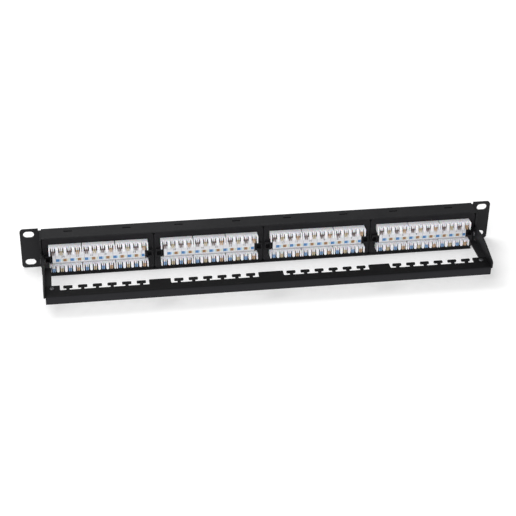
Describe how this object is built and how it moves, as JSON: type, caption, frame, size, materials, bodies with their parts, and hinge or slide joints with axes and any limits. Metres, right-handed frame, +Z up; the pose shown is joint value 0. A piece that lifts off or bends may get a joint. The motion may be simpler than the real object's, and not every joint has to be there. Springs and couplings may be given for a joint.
{
  "type": "patch panel",
  "caption": "Black steel 19-inch rack patch panel: modular jacks in front, white punch-down blocks with colour strips behind, and a hinged rear cable bar with T-shaped hooks.",
  "frame": {"origin": "centre of the four rack slots, on the rear face of the ears", "axes": "+X along the panel, +Y to the rear, out of the ears' rear face towards the punch-down side, +Z up"},
  "size_m": [0.4826, 0.0898, 0.044],
  "materials": {
    "black_steel": "fine-textured black powder coat",
    "rivet_steel": "blackened steel, worn bright on the heads",
    "black_plastic": "moulded, fine spark texture",
    "jack_plastic": "smooth moulded",
    "white_plastic": "satin moulded, faintly translucent",
    "gold_contacts": "gold plated",
    "tinned_contacts": "tinned bronze",
    "circuit_board": "green solder mask",
    "printed_strip": "printed card with colour code",
    "printed_label": "printed card with port numbers",
    "clear_window": "clear polycarbonate"
  },
  "bodies": {
    "panel": {"front_panel": "black_steel", "pivot_rivets": "rivet_steel", "module_1_housing": "black_plastic", "module_1_jacks": "jack_plastic", "module_1_jack_contacts": "gold_contacts", "module_1_circuit_board": "circuit_board", "module_1_rear_cover": "black_plastic", "module_1_upper_blocks": "white_plastic", "module_1_lower_blocks": "white_plastic", "module_1_wire_forks": "tinned_contacts", "module_1_colour_strip": "printed_strip", "module_1_port_label": "printed_label", "module_1_label_window": "clear_window", "module_2_housing": "black_plastic", "module_2_jacks": "jack_plastic", "module_2_jack_contacts": "gold_contacts", "module_2_circuit_board": "circuit_board", "module_2_rear_cover": "black_plastic", "module_2_upper_blocks": "white_plastic", "module_2_lower_blocks": "white_plastic", "module_2_wire_forks": "tinned_contacts", "module_2_colour_strip": "printed_strip", "module_2_port_label": "printed_label", "module_2_label_window": "clear_window", "module_3_housing": "black_plastic", "module_3_jacks": "jack_plastic", "module_3_jack_contacts": "gold_contacts", "module_3_circuit_board": "circuit_board", "module_3_rear_cover": "black_plastic", "module_3_upper_blocks": "white_plastic", "module_3_lower_blocks": "white_plastic", "module_3_wire_forks": "tinned_contacts", "module_3_colour_strip": "printed_strip", "module_3_port_label": "printed_label", "module_3_label_window": "clear_window", "module_4_housing": "black_plastic", "module_4_jacks": "jack_plastic", "module_4_jack_contacts": "gold_contacts", "module_4_circuit_board": "circuit_board", "module_4_rear_cover": "black_plastic", "module_4_upper_blocks": "white_plastic", "module_4_lower_blocks": "white_plastic", "module_4_wire_forks": "tinned_contacts", "module_4_colour_strip": "printed_strip", "module_4_port_label": "printed_label", "module_4_label_window": "clear_window"},
    "cable_manager": {"cable_bar": "black_steel", "arm_left": "black_steel", "arm_right": "black_steel", "bar_rivets": "rivet_steel"}
  },
  "joints": [
    {"name": "cable_manager_swing", "type": "hinge", "parent": "panel", "child": "cable_manager", "pos_m": [0, 0.0265, 0.0005], "axis": [1, 0, 0], "range_deg": [-10, 80]}
  ]
}
